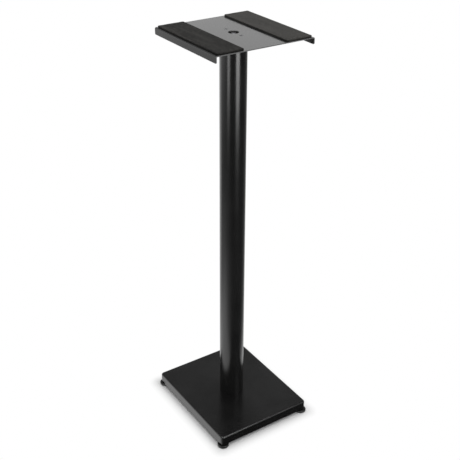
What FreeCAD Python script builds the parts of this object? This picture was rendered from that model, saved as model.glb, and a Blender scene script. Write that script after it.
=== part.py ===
import FreeCAD, Part
import os
import re

import Sketcher

# A speaker stand: a folded steel top plate with two foam pads, one round steel column and a folded
# steel base tray on four levelling feet. Millimetres, +Z up, origin on the floor below the middle of
# the base, the open front edge of the top plate towards -Y.

doc = FreeCAD.newDocument("speaker_stand")

# ---------------------------------------------------------------- driving sizes

SIZES = {
    # base tray, a pan open underneath
    "base_width": 254.0,
    "base_depth": 302.0,
    "base_height": 23.0,
    "base_sheet": 2.0,
    "base_corner_radius": 8.0,
    "base_edge_radius": 3.5,
    # plate welded under the tray top to spread the column's load
    "spreader_width": 120.0,
    "spreader_thickness": 4.0,
    "spreader_corner_radius": 8.0,
    # column tube and the discs welded into its ends
    "column_diameter": 60.0,
    "column_wall": 1.5,
    "column_length": 931.0,
    "end_disc_thickness": 5.0,
    "weld_gap": 0.1,
    # flange welded on the column's upper end
    "flange_lip": 9.0,
    "flange_thickness": 6.0,
    # folded top plate with its drawn dish for the centre bolt
    "plate_width": 241.0,
    "plate_depth": 241.0,
    "plate_sheet": 2.0,
    "plate_drop": 15.0,
    "plate_bend_radius": 1.2,
    "plate_corner_radius": 3.0,
    "dish_diameter": 23.0,
    "dish_taper": 1.0,
    "dish_rim_radius": 1.4,
    # foam pads
    "pad_width": 64.8,
    "pad_side_inset": 4.0,
    "pad_end_inset": 2.5,
    "pad_thickness": 4.0,
    "pad_corner_radius": 3.0,
    "pad_edge_radius": 0.6,
    # M8 hardware
    "m8_diameter": 8.0,
    "m8_across_flats": 13.0,
    "m8_head_height": 5.3,
    "m8_nut_height": 6.5,
    "m8_washer_diameter": 16.0,
    "m8_washer_thickness": 1.6,
    "bolt_overrun": 2.5,
    "button_head_diameter": 14.0,
    "button_head_height": 4.4,
    "button_socket_across_flats": 5.0,
    "button_socket_depth": 2.6,
    "nut_to_wall": 4.0,
    # M5 countersunk screws beside the centre bolt
    "m5_diameter": 5.0,
    "m5_head_diameter": 9.0,
    "m5_screw_offset": 28.6,
    "m5_tip_gap": 0.5,
    # M6 levelling feet
    "m6_diameter": 6.0,
    "m6_across_flats": 10.0,
    "m6_nut_height": 5.0,
    "foot_nut_to_wall": 1.2,
    "corner_plate_leg": 34.0,
    "corner_plate_cut": 16.0,
    "corner_plate_thickness": 3.0,
    "stud_headroom": 4.0,
    "collar_height": 2.2,
    "collar_gap": 0.3,
    "pivot_head_diameter": 10.0,
    "pivot_head_height": 2.0,
    "foot_disc_diameter": 28.0,
    "foot_disc_thickness": 5.0,
    "foot_disc_edge_radius": 1.5,
    "sole_thickness": 1.5,
    "sole_step": 1.0,
    # clearances of holes, all on the radius
    "bolt_hole_clearance": 0.5,
    "thread_clearance": 0.05,
    "running_clearance": 0.05,
}

sizes = doc.addObject("Spreadsheet::Sheet", "sizes")
for row, (alias, number) in enumerate(SIZES.items(), start=1):
    sizes.set(f"A{row}", alias)
    sizes.set(f"B{row}", str(number))
    sizes.setAlias(f"B{row}", alias)
doc.recompute()

# ---------------------------------------------------------------- levels and radii that follow from them

FOOT_DISC_TOP = "(sole_thickness + foot_disc_thickness)"
BASE_UNDERSIDE = f"({FOOT_DISC_TOP} + collar_gap + collar_height)"
BASE_TOP = f"({BASE_UNDERSIDE} + base_height)"
SPREADER_UNDERSIDE = f"({BASE_TOP} - base_sheet - spreader_thickness)"
COLUMN_TOP = f"({BASE_TOP} + column_length)"
PLATE_UNDERSIDE = f"({COLUMN_TOP} + flange_thickness)"
PLATE_TOP = f"({PLATE_UNDERSIDE} + plate_sheet)"
DISH_FLOOR = f"({COLUMN_TOP} + plate_sheet)"

BORE_RADIUS = "(column_diameter / 2 - column_wall)"
END_DISC_RADIUS = f"({BORE_RADIUS} - weld_gap)"
M8_CIRCUMRADIUS = "(m8_across_flats / sqrt(3))"
M6_CIRCUMRADIUS = "(m6_across_flats / sqrt(3))"
M8_THREAD_RADIUS = "(m8_diameter / 2 + thread_clearance)"
M8_HOLE_RADIUS = "(m8_diameter / 2 + bolt_hole_clearance)"
M6_THREAD_RADIUS = "(m6_diameter / 2 + thread_clearance)"
M6_HOLE_RADIUS = "(m6_diameter / 2 + bolt_hole_clearance)"
BASE_BOLT_OFFSET = f"(({BORE_RADIUS} - {M8_CIRCUMRADIUS} - nut_to_wall) / sqrt(2))"
FOOT_INSET = f"(base_sheet + {M6_CIRCUMRADIUS} + foot_nut_to_wall)"
FOOT_X = f"(base_width / 2 - {FOOT_INSET})"
FOOT_Y = f"(base_depth / 2 - {FOOT_INSET})"

# The four quarters of the base: name, side along X, side along Y.
CORNERS = [("front_left", -1, -1), ("front_right", 1, -1), ("back_left", -1, 1), ("back_right", 1, 1)]
OVERSHOOT = 1.0

sub_parts = []


def formula(text):
    """The text with each size's name written as its cell in the sheet."""
    return re.sub(
        r"[a-z]\w*",
        lambda word: "sizes." + word[0] if word[0] in SIZES else word[0],
        str(text),
    )


def value(text):
    return float(sizes.evalExpression(formula(text)))


def bind(shape, **properties):
    """Ties properties to formulas. x, y and z are the place of the object."""
    for name, text in properties.items():
        path = f"Placement.Base.{name}" if name in "xyz" else name
        shape.setExpression(path, formula(text))
    return shape


def sub_part(shape, label):
    shape.Label = label
    sub_parts.append(shape)
    return shape


# ---------------------------------------------------------------- primitives and booleans


def cylinder(radius, height, x="0", y="0", z="0"):
    return bind(doc.addObject("Part::Cylinder", "round"), Radius=radius, Height=height, x=x, y=y, z=z)


def cone(low_radius, high_radius, height, x="0", y="0", z="0"):
    shape = doc.addObject("Part::Cone", "taper")
    return bind(shape, Radius1=low_radius, Radius2=high_radius, Height=height, x=x, y=y, z=z)


def hexagon(across_flats, height, x="0", y="0", z="0"):
    shape = doc.addObject("Part::Prism", "hexagon")
    shape.Polygon = 6
    return bind(shape, Circumradius=f"{across_flats} / sqrt(3)", Height=height, x=x, y=y, z=z)


def joined(*shapes):
    fused = doc.addObject("Part::MultiFuse", "joined")
    fused.Shapes = list(shapes)
    return fused


def drilled(blank, *tools):
    """The blank with every tool taken out of it."""
    for tool in tools:
        cut = doc.addObject("Part::Cut", "drilled")
        cut.Base = blank
        cut.Tool = tool
        blank = cut
    return blank


def ring(outer_radius, inner_radius, height, x="0", y="0", z="0"):
    bore = cylinder(inner_radius, f"{height} + {2 * OVERSHOOT}", x, y, f"{z} - {OVERSHOOT}")
    return drilled(cylinder(outer_radius, height, x, y, z), bore)


def nut(across_flats, height, bore_radius, x="0", y="0", z="0"):
    bore = cylinder(bore_radius, f"{height} + {2 * OVERSHOOT}", x, y, f"{z} - {OVERSHOOT}")
    return drilled(hexagon(across_flats, height, x, y, z), bore)


def group(shapes):
    """Identical separate solids that share one node."""
    compound = doc.addObject("Part::Compound", "group")
    compound.Links = shapes
    return compound


# ---------------------------------------------------------------- bodies drawn as sketches


def new_body(name, z="0"):
    body = doc.addObject("PartDesign::Body", name)
    return bind(body, z=z)


def sketch_on(body, role):
    plane = [feature for feature in body.Origin.OriginFeatures if feature.Role == role][0]
    sketch = body.newObject("Sketcher::SketchObject", "outline")
    sketch.AttachmentSupport = [(plane, "")]
    sketch.MapMode = "FlatFace"
    return sketch


def pin_point(sketch, geometry, point, across, up):
    """Holds one point of a sketch at two formulas, measured from the sketch's origin."""
    for kind, text in (("DistanceX", across), ("DistanceY", up)):
        if value(text) == 0:
            axis = -2 if kind == "DistanceX" else -1
            sketch.addConstraint(Sketcher.Constraint("PointOnObject", geometry, point, axis))
            continue
        index = sketch.addConstraint(Sketcher.Constraint(kind, -1, 1, geometry, point, value(text)))
        sketch.setExpression(f"Constraints[{index}]", formula(text))


def polygon(sketch, corners):
    first = sketch.GeometryCount
    places = [FreeCAD.Vector(value(across), value(up), 0) for across, up in corners]
    count = len(corners)
    for k in range(count):
        sketch.addGeometry(Part.LineSegment(places[k], places[(k + 1) % count]), False)
    for k, (across, up) in enumerate(corners):
        sketch.addConstraint(Sketcher.Constraint("Coincident", first + (k - 1) % count, 2, first + k, 1))
        pin_point(sketch, first + k, 1, across, up)
    return sketch


def rectangle(sketch, half_width, half_depth):
    signs = [(-1, -1), (1, -1), (1, 1), (-1, 1)]
    return polygon(sketch, [(f"{u} * ({half_width})", f"{v} * ({half_depth})") for u, v in signs])


def circle(sketch, radius, across="0", up="0"):
    centre = FreeCAD.Vector(value(across), value(up), 0)
    index = sketch.addGeometry(Part.Circle(centre, FreeCAD.Vector(0, 0, 1), value(radius)), False)
    pin_point(sketch, index, 3, across, up)
    limit = sketch.addConstraint(Sketcher.Constraint("Radius", index, value(radius)))
    sketch.setExpression(f"Constraints[{limit}]", formula(radius))
    return sketch


def pad(body, sketch, height):
    feature = body.newObject("PartDesign::Pad", "pad")
    feature.Profile = (sketch, [""])
    bind(feature, Length=height)
    doc.recompute()
    return feature


def pocket(body, sketch, depth):
    """Cuts the sketch out of the body, upwards from the sketch's plane."""
    before = body.Tip.Shape.Volume
    feature = body.newObject("PartDesign::Pocket", "pocket")
    feature.Profile = (sketch, [""])
    feature.Reversed = True
    bind(feature, Length=depth)
    doc.recompute()
    if not feature.Shape.Volume < before - 0.001:
        raise RuntimeError(f"{body.Name}: the pocket cuts nothing")
    return feature


def revolved(body, sketch):
    feature = body.newObject("PartDesign::Revolution", "turned")
    feature.Profile = (sketch, [""])
    feature.ReferenceAxis = (sketch, ["V_Axis"])
    feature.Angle = 360
    doc.recompute()
    return feature


def rounded(body, radius, chosen):
    """Fillets the edges of the body for which chosen(edge) is true."""
    base = body.Tip
    names = [f"Edge{k}" for k, edge in enumerate(base.Shape.Edges, start=1) if chosen(edge)]
    if not names:
        raise RuntimeError(f"{body.Name}: no edge to round")
    feature = body.newObject("PartDesign::Fillet", "fillet")
    feature.Base = (base, names)
    bind(feature, Radius=radius)
    doc.recompute()
    return feature


def near(number, text):
    return abs(number - value(text)) < 0.001


def upright(edge):
    """A straight edge along Z."""
    box = edge.BoundBox
    return edge.Curve.TypeId == "Part::GeomLine" and box.ZLength > 0.1 and box.XLength + box.YLength < 0.001


def level_at(text):
    """A test for edges that lie flat at that height."""
    return lambda edge: edge.BoundBox.ZLength < 0.001 and near(edge.BoundBox.ZMax, text)


# ---------------------------------------------------------------- base tray
# Steel pan, open underneath, with welded corners and rounded rims.


def rounded_block(name, half_width, half_depth, height, corner_radius, edge_radius, x="0", z="0"):
    """A block with rounded upright edges and, where an edge radius is given, a rounded upper rim."""
    body = bind(new_body(name, z), x=x)
    pad(body, rectangle(sketch_on(body, "XY_Plane"), half_width, half_depth), height)
    rounded(body, corner_radius, upright)
    if edge_radius:
        rounded(body, edge_radius, level_at(height))
    return body


def base_bolt_holes(height, z):
    return [
        cylinder(
            M8_HOLE_RADIUS,
            f"{height} + {2 * OVERSHOOT}",
            f"{side_x} * {BASE_BOLT_OFFSET}",
            f"{side_y} * {BASE_BOLT_OFFSET}",
            f"{z} - {OVERSHOOT}",
        )
        for _, side_x, side_y in CORNERS
    ]


def base_tray():
    outside = rounded_block(
        "tray_outside",
        "base_width / 2",
        "base_depth / 2",
        "base_height",
        "base_corner_radius",
        "base_edge_radius",
        z=BASE_UNDERSIDE,
    )
    hollow = rounded_block(
        "tray_hollow",
        "base_width / 2 - base_sheet",
        "base_depth / 2 - base_sheet",
        f"base_height - base_sheet + {OVERSHOOT}",
        "base_corner_radius - base_sheet",
        "base_edge_radius - base_sheet",
        z=f"{BASE_UNDERSIDE} - {OVERSHOOT}",
    )
    holes = base_bolt_holes("base_sheet", f"{BASE_TOP} - base_sheet")
    sub_part(drilled(outside, hollow, *holes), "base_tray")


def base_spreader_plate():
    blank = rounded_block(
        "spreader_blank",
        "spreader_width / 2",
        "spreader_width / 2",
        "spreader_thickness",
        "spreader_corner_radius",
        None,
        z=SPREADER_UNDERSIDE,
    )
    holes = base_bolt_holes("spreader_thickness", SPREADER_UNDERSIDE)
    sub_part(drilled(blank, *holes), "base_spreader_plate")


def base_bolts():
    """Four hexagon bolts with washers, from below through spreader, tray and end disc into nuts."""
    bolts = []
    washers = []
    nuts = []
    head = f"({SPREADER_UNDERSIDE} - m8_washer_thickness - m8_head_height)"
    nut_seat = f"({BASE_TOP} + end_disc_thickness)"
    for _, side_x, side_y in CORNERS:
        x = f"{side_x} * {BASE_BOLT_OFFSET}"
        y = f"{side_y} * {BASE_BOLT_OFFSET}"
        length = f"{nut_seat} + m8_nut_height + bolt_overrun - {head}"
        bolts.append(
            joined(
                hexagon("m8_across_flats", "m8_head_height", x, y, head),
                cylinder("m8_diameter / 2", length, x, y, head),
            )
        )
        washers.append(
            ring(
                "m8_washer_diameter / 2",
                M8_THREAD_RADIUS,
                "m8_washer_thickness",
                x,
                y,
                f"{SPREADER_UNDERSIDE} - m8_washer_thickness",
            )
        )
        nuts.append(nut("m8_across_flats", "m8_nut_height", M8_THREAD_RADIUS, x, y, nut_seat))
    sub_part(group(bolts), "base_bolts")
    sub_part(group(washers), "base_bolt_washers")
    sub_part(group(nuts), "column_weld_nuts")


# ---------------------------------------------------------------- column


def column_tube():
    body = new_body("column_body", BASE_TOP)
    section = circle(sketch_on(body, "XY_Plane"), "column_diameter / 2")
    circle(section, BORE_RADIUS)
    pad(body, section, "column_length")
    sub_part(body, "column_tube")


def column_bottom_disc():
    """Disc welded inside the column's lower end, flush with it, drilled for the four bolts."""
    blank = cylinder(END_DISC_RADIUS, "end_disc_thickness", z=BASE_TOP)
    holes = base_bolt_holes("end_disc_thickness", BASE_TOP)
    sub_part(drilled(blank, *holes), "column_bottom_disc")


def column_top_disc():
    """Disc welded inside the column's upper end. The dish of the top plate rests on it."""
    disc = ring(
        END_DISC_RADIUS, M8_THREAD_RADIUS, "end_disc_thickness", z=f"{COLUMN_TOP} - end_disc_thickness"
    )
    sub_part(disc, "column_top_disc")


def column_top_nut():
    seat = f"{COLUMN_TOP} - end_disc_thickness - m8_nut_height"
    sub_part(nut("m8_across_flats", "m8_nut_height", M8_THREAD_RADIUS, z=seat), "column_top_nut")


def column_flange():
    """Ring welded on the column's upper end, tapped for the two small screws."""
    dish_hole = "dish_diameter / 2 + plate_sheet + bolt_hole_clearance"
    flange = ring("column_diameter / 2 + flange_lip", dish_hole, "flange_thickness", z=COLUMN_TOP)
    tapped = [
        cylinder(
            "m5_diameter / 2 + thread_clearance",
            f"flange_thickness + {2 * OVERSHOOT}",
            y=f"{side} * m5_screw_offset",
            z=f"{COLUMN_TOP} - {OVERSHOOT}",
        )
        for side in (-1, 1)
    ]
    sub_part(drilled(flange, *tapped), "column_flange")


# ---------------------------------------------------------------- top plate
# Folded sheet: a flat top with a flange turned down along each side, and a drawn dish in the middle.


def top_plate():
    low = f"({PLATE_TOP} - plate_drop)"
    body = new_body("top_plate_body", low)
    pad(body, rectangle(sketch_on(body, "XY_Plane"), "plate_width / 2", "plate_depth / 2"), "plate_drop")
    channel = rectangle(
        sketch_on(body, "XY_Plane"), "plate_width / 2 - plate_sheet", f"plate_depth / 2 + {OVERSHOOT}"
    )
    pocket(body, channel, "plate_drop - plate_sheet")
    rounded(
        body,
        "plate_bend_radius + plate_sheet",
        lambda edge: edge.BoundBox.YLength > 1
        and near(edge.BoundBox.ZMin, "plate_drop")
        and near(abs(edge.BoundBox.XMax), "plate_width / 2"),
    )
    rounded(
        body,
        "plate_bend_radius",
        lambda edge: edge.BoundBox.YLength > 1
        and near(edge.BoundBox.ZMin, "plate_drop - plate_sheet")
        and near(abs(edge.BoundBox.XMax), "plate_width / 2 - plate_sheet"),
    )
    rounded(
        body,
        "plate_corner_radius",
        lambda edge: near(edge.BoundBox.XLength, "plate_sheet") and abs(edge.BoundBox.ZMax) < 0.001,
    )

    opening = circle(sketch_on(body, "XY_Plane"), "dish_diameter / 2 + plate_sheet / 2")
    pocket(body, opening, f"plate_drop + {OVERSHOOT}")
    floor = "(plate_drop - flange_thickness)"
    wall = sketch_on(body, "XZ_Plane")
    corners = [
        (M8_HOLE_RADIUS, f"{floor}"),
        ("dish_diameter / 2 - dish_taper", f"{floor}"),
        ("dish_diameter / 2", "plate_drop"),
        ("dish_diameter / 2 + plate_sheet", "plate_drop"),
        ("dish_diameter / 2 + plate_sheet", "plate_drop - plate_sheet"),
        ("dish_diameter / 2 + plate_sheet - dish_taper", f"{floor} - plate_sheet"),
        (M8_HOLE_RADIUS, f"{floor} - plate_sheet"),
    ]
    revolved(body, polygon(wall, corners))
    rounded(
        body,
        "dish_rim_radius",
        lambda edge: level_at("plate_drop")(edge) and near(edge.BoundBox.XLength, "dish_diameter"),
    )

    # Countersunk seats of the two small screws.
    countersinks = [
        cone(
            "m5_diameter / 2 + bolt_hole_clearance / 2",
            "m5_head_diameter / 2 + bolt_hole_clearance / 2",
            "plate_sheet",
            y=f"{side} * m5_screw_offset",
            z=PLATE_UNDERSIDE,
        )
        for side in (-1, 1)
    ]
    sub_part(drilled(body, *countersinks), "top_plate")


def top_plate_screws():
    """Two countersunk screws, flush with the plate, that keep it from turning on the column."""
    screws = []
    for side in (-1, 1):
        y = f"{side} * m5_screw_offset"
        low = f"{COLUMN_TOP} + m5_tip_gap"
        head = "(m5_head_diameter - m5_diameter) / 2"
        shank = cylinder("m5_diameter / 2", f"{PLATE_TOP} - {head} - ({low})", y=y, z=low)
        top = cone("m5_diameter / 2", "m5_head_diameter / 2", head, y=y, z=f"{PLATE_TOP} - {head}")
        screws.append(joined(shank, top))
    sub_part(group(screws), "top_plate_screws")


def centre_bolt():
    """Button-head bolt with a hexagon socket, down in the dish."""
    seat = f"({DISH_FLOOR} + m8_washer_thickness)"
    shank_length = "(m8_washer_thickness + plate_sheet + end_disc_thickness + m8_nut_height + bolt_overrun)"
    shank = cylinder("m8_diameter / 2", f"{shank_length} + {OVERSHOOT}", z=f"{seat} - {shank_length}")
    blank = cylinder("button_head_diameter / 2", "button_head_height", z=seat)
    rim = "(button_head_diameter / 2)"
    crown = f"(({rim} * {rim} + button_head_height * button_head_height) / (2 * button_head_height))"
    ball = doc.addObject("Part::Sphere", "crown")
    bind(ball, Radius=crown, z=f"{seat} + button_head_height - {crown}")
    head = doc.addObject("Part::Common", "button_head")
    head.Base = blank
    head.Tool = ball
    socket_floor = f"{seat} + button_head_height - button_socket_depth"
    socket = hexagon(
        "button_socket_across_flats", f"button_socket_depth + {OVERSHOOT}", z=socket_floor
    )
    sub_part(drilled(joined(shank, head), socket), "centre_bolt")
    sub_part(
        ring("m8_washer_diameter / 2", M8_THREAD_RADIUS, "m8_washer_thickness", z=DISH_FLOOR),
        "centre_bolt_washer",
    )


def foam_pads():
    for name, side in (("left", -1), ("right", 1)):
        foam = rounded_block(
            f"{name}_foam",
            "pad_width / 2",
            "plate_depth / 2 - pad_end_inset",
            "pad_thickness",
            "pad_corner_radius",
            "pad_edge_radius",
            x=f"{side} * (plate_width / 2 - pad_side_inset - pad_width / 2)",
            z=PLATE_TOP,
        )
        sub_part(foam, f"{name}_pad")


# ---------------------------------------------------------------- corners of the base and levelling feet


def corner_plate(corner, side_x, side_y):
    """Steel plate welded into one corner of the tray, level with its lower rim."""
    body = new_body(f"corner_{corner}_body", BASE_UNDERSIDE)
    wall_x = "(base_width / 2 - base_sheet - weld_gap)"
    wall_y = "(base_depth / 2 - base_sheet - weld_gap)"
    leg = "corner_plate_leg"
    corners = [
        (f"{side_x} * {wall_x}", f"{side_y} * {wall_y}"),
        (f"{side_x} * ({wall_x} - {leg})", f"{side_y} * {wall_y}"),
        (f"{side_x} * ({wall_x} - {leg})", f"{side_y} * ({wall_y} - {leg} + corner_plate_cut)"),
        (f"{side_x} * ({wall_x} - {leg} + corner_plate_cut)", f"{side_y} * ({wall_y} - {leg})"),
        (f"{side_x} * {wall_x}", f"{side_y} * ({wall_y} - {leg})"),
    ]
    pad(body, polygon(sketch_on(body, "XY_Plane"), corners), "corner_plate_thickness")
    rounded(
        body,
        "base_corner_radius - base_sheet",
        lambda edge: upright(edge)
        and near(edge.BoundBox.XMax, f"{side_x} * {wall_x}")
        and near(edge.BoundBox.YMax, f"{side_y} * {wall_y}"),
    )
    hole = circle(
        sketch_on(body, "XY_Plane"), M6_HOLE_RADIUS, f"{side_x} * {FOOT_X}", f"{side_y} * {FOOT_Y}"
    )
    pocket(body, hole, f"corner_plate_thickness + {OVERSHOOT}")
    sub_part(body, f"corner_plate_{corner}")


def foot_stud(corner, x, y):
    """Threaded stud with a hexagon collar, and a pivot head that turns in the foot's disc."""
    pivot_low = "(sole_thickness + collar_gap)"
    thread_top = f"({BASE_TOP} - base_sheet - stud_headroom)"
    collar_low = f"({BASE_UNDERSIDE} - collar_height)"
    stud = joined(
        cylinder("pivot_head_diameter / 2", "pivot_head_height", x, y, pivot_low),
        cylinder("m6_diameter / 2", f"{thread_top} - {pivot_low}", x, y, pivot_low),
        hexagon("m6_across_flats", "collar_height", x, y, collar_low),
    )
    sub_part(stud, f"foot_{corner}_stud")


def foot_disc(corner, x, y):
    """Moulded disc, turned profile, with a well underneath for the stud's pivot head."""
    body = bind(new_body(f"foot_{corner}_body", "sole_thickness"), x=x, y=y)
    neck = "m6_diameter / 2 + running_clearance"
    well = "pivot_head_diameter / 2 + 2 * running_clearance"
    well_top = "pivot_head_height + 2 * collar_gap"
    corners = [
        (neck, "foot_disc_thickness"),
        ("foot_disc_diameter / 2", "foot_disc_thickness"),
        ("foot_disc_diameter / 2", "0"),
        (well, "0"),
        (well, well_top),
        (neck, well_top),
    ]
    revolved(body, polygon(sketch_on(body, "XZ_Plane"), corners))
    rounded(
        body,
        "foot_disc_edge_radius",
        lambda edge: level_at("foot_disc_thickness")(edge)
        and near(edge.BoundBox.XLength, "foot_disc_diameter"),
    )
    sub_part(body, f"foot_{corner}_disc")


def foot_sole(corner, x, y):
    sub_part(
        cylinder("foot_disc_diameter / 2 - sole_step", "sole_thickness", x, y), f"foot_{corner}_sole"
    )


def feet():
    nuts = []
    for corner, side_x, side_y in CORNERS:
        x = f"{side_x} * {FOOT_X}"
        y = f"{side_y} * {FOOT_Y}"
        corner_plate(corner, side_x, side_y)
        nut_seat = f"{BASE_UNDERSIDE} + corner_plate_thickness"
        nuts.append(nut("m6_across_flats", "m6_nut_height", M6_THREAD_RADIUS, x, y, nut_seat))
        foot_stud(corner, x, y)
        foot_disc(corner, x, y)
        foot_sole(corner, x, y)
    sub_part(group(nuts), "foot_weld_nuts")


base_tray()
base_spreader_plate()
base_bolts()
column_tube()
column_bottom_disc()
column_top_disc()
column_top_nut()
column_flange()
top_plate()
top_plate_screws()
centre_bolt()
foam_pads()
feet()

# ---------------------------------------------------------------- checks and files

doc.recompute()
for item in doc.Objects:
    if {"Invalid", "Error"} & set(item.State):
        raise RuntimeError(f"{item.Name}: {item.State}")
for piece in sub_parts:
    if piece.Shape.isNull() or not piece.Shape.isValid():
        raise RuntimeError(f"{piece.Label}: bad shape")

os.makedirs("parts", exist_ok=True)
for piece in sub_parts:
    piece.Shape.exportStep(f"parts/{piece.Label}.step")
    box = piece.Shape.BoundBox
    solids = len(piece.Shape.Solids)
    print(f"{piece.Label}: {solids} solid(s), {piece.Shape.Volume:.0f} mm3, z {box.ZMin:.2f} to {box.ZMax:.2f}")
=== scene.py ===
import math
from functools import partial

import bmesh
import bpy
from mathutils import Matrix, Vector


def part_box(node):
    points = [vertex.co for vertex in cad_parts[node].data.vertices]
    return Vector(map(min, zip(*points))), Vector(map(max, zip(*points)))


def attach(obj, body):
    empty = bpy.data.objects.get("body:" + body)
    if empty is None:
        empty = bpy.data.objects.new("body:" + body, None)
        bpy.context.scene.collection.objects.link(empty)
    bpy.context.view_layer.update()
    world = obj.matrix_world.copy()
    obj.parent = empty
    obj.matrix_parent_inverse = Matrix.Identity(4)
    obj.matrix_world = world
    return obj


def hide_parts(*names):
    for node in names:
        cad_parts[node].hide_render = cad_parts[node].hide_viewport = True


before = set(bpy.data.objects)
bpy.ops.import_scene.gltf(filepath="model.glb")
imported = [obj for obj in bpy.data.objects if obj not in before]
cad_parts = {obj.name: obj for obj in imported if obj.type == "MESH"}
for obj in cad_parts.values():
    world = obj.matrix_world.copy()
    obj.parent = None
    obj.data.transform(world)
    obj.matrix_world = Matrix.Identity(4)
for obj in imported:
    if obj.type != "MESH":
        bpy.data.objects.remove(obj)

scene = bpy.context.scene
scene.view_settings.view_transform = "Standard"
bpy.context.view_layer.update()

# ---------------------------------------------------------------- the camera
# It stands in front, to the left and above, where the photograph was taken from: 33.5 degrees round from
# the front, 28.9 degrees down, with a 30 degree view.

image_size = 460
focal_pixels = 859.0
camera_place = Vector((-0.9814, -1.4716, 1.4750))
camera_yaw = math.radians(33.518)
camera_pitch = math.radians(28.878)
camera_roll = math.radians(-0.248)

camera_data = bpy.data.cameras.new("camera")
camera_data.sensor_width = 36.0
camera_data.lens = focal_pixels * camera_data.sensor_width / image_size
camera = bpy.data.objects.new("camera", camera_data)
scene.collection.objects.link(camera)
forward = Vector((
    math.sin(camera_yaw) * math.cos(camera_pitch),
    math.cos(camera_yaw) * math.cos(camera_pitch),
    -math.sin(camera_pitch),
))
level_right = Vector((math.cos(camera_yaw), -math.sin(camera_yaw), 0.0))
level_down = forward.cross(level_right)
right = math.cos(camera_roll) * level_right + math.sin(camera_roll) * level_down
down = -math.sin(camera_roll) * level_right + math.cos(camera_roll) * level_down
turn = Matrix((right, -down, -forward)).transposed()
camera.matrix_world = Matrix.Translation(camera_place) @ turn.to_4x4()
scene.camera = camera

# ---------------------------------------------------------------- the studio
# A pale floor that runs out to a white backdrop, a large softbox overhead, one in front on the right, two
# tall strip lights that make the column's stripes, and a dark sheet on the floor that only reflections see,
# which paints shade into what the surfaces mirror.


def new_material(name):
    """An empty node material and its tree."""
    material = bpy.data.materials.new(name)
    material.use_nodes = True
    material.node_tree.nodes.clear()
    return material, material.node_tree


def place_node(tree, kind, inputs=None, **settings):
    """A node with its settings, and with its inputs set to numbers or linked from sockets."""
    node = tree.nodes.new(kind)
    for name, value in settings.items():
        setattr(node, name, value)
    for name, value in (inputs or {}).items():
        if isinstance(value, bpy.types.NodeSocket):
            tree.links.new(value, node.inputs[name])
        else:
            node.inputs[name].default_value = value
    return node


def math_node(tree, operation, *values):
    return place_node(tree, "ShaderNodeMath", dict(enumerate(values)), operation=operation).outputs[0]


def spread(tree, value, low, high):
    """A value between low and high, spread to between 0 and 1."""
    inputs = {"Value": value, "From Min": low, "From Max": high}
    return place_node(tree, "ShaderNodeMapRange", inputs).outputs[0]


def ramp_node(tree, value, steps):
    """A smooth curve of a value between 0 and 1, through (value, level) steps."""
    node = place_node(tree, "ShaderNodeValToRGB", {0: value})
    ramp = node.color_ramp
    ramp.interpolation = "EASE"
    for number, (at, level) in enumerate(steps):
        element = ramp.elements[number] if number < 2 else ramp.elements.new(1.0)
        element.position = at
        element.color = (level, level, level, 1.0)
    return node.outputs[0]


def mix_shaders(tree, share, first, second):
    """The first shader, which turns into the second one by a share."""
    return place_node(tree, "ShaderNodeMixShader", {0: share, 1: first, 2: second}).outputs[0]


def seen_background(tree):
    """1 for camera, glossy and transmission rays, which see the background, and 0 for the rest."""
    rays = place_node(tree, "ShaderNodeLightPath").outputs
    direct_or_mirrored = math_node(tree, "MAXIMUM", rays["Is Camera Ray"], rays["Is Glossy Ray"])
    return math_node(tree, "MAXIMUM", direct_or_mirrored, rays["Is Transmission Ray"])


def circle(radius, count, level, x=0.0, y=0.0):
    """Points evenly round an upright axis."""
    angles = [2 * math.pi * i / count for i in range(count)]
    return [(x + radius * math.cos(angle), y + radius * math.sin(angle), level) for angle in angles]


def new_piece(name, points, edges=(), faces=(), material=None):
    """An object in the scene, with a mesh of its own."""
    mesh = bpy.data.meshes.new(name)
    mesh.from_pydata(points, edges, faces)
    if material:
        mesh.materials.append(material)
    piece = bpy.data.objects.new(name, mesh)
    scene.collection.objects.link(piece)
    return piece


floor_reach, floor_sides = 12.0, 64
floor_color, floor_lift = (0.80, 0.80, 0.80, 1.0), 0.04
base_x, base_y = 0.127, 0.151
clear_from, clear_to, mirrored_clear_to = 0.0, 0.034, 0.002

material, tree = new_material("pale_floor")
seen = seen_background(tree)
paint = place_node(tree, "ShaderNodeBsdfDiffuse", {"Color": floor_color}).outputs[0]
lift = math_node(tree, "MULTIPLY", seen, floor_lift)
lift = place_node(tree, "ShaderNodeEmission", {"Strength": lift}).outputs[0]
lifted = place_node(tree, "ShaderNodeAddShader", {0: paint, 1: lift}).outputs[0]
white = place_node(tree, "ShaderNodeEmission").outputs[0]

# How far a place lies outside the base: past a short way the floor turns to the white of the backdrop, and
# past a shorter way where a surface mirrors it.
outward = place_node(tree, "ShaderNodeTexCoord").outputs["Object"]
for operation, *values in (("ABSOLUTE",), ("SUBTRACT", (base_x, base_y, 0.0)), ("MAXIMUM", (0.0, 0.0, 0.0))):
    values = dict(enumerate([outward, *values]))
    outward = place_node(tree, "ShaderNodeVectorMath", values, operation=operation).outputs[0]
outward = place_node(tree, "ShaderNodeVectorMath", {0: outward}, operation="LENGTH").outputs["Value"]
mirrored = place_node(tree, "ShaderNodeLightPath").outputs["Is Glossy Ray"]
clear_reach = math_node(tree, "MULTIPLY_ADD", mirrored, mirrored_clear_to - clear_to, clear_to)
clearing = place_node(
    tree, "ShaderNodeMapRange", {"Value": outward, "From Min": clear_from, "From Max": clear_reach},
    interpolation_type="SMOOTHSTEP",
).outputs[0]
cleared = mix_shaders(tree, math_node(tree, "MULTIPLY", clearing, seen), lifted, white)
place_node(tree, "ShaderNodeOutputMaterial", {"Surface": cleared})
floor = new_piece(
    "floor", circle(floor_reach, floor_sides, 0.0), faces=[list(range(floor_sides))], material=material
)

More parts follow.
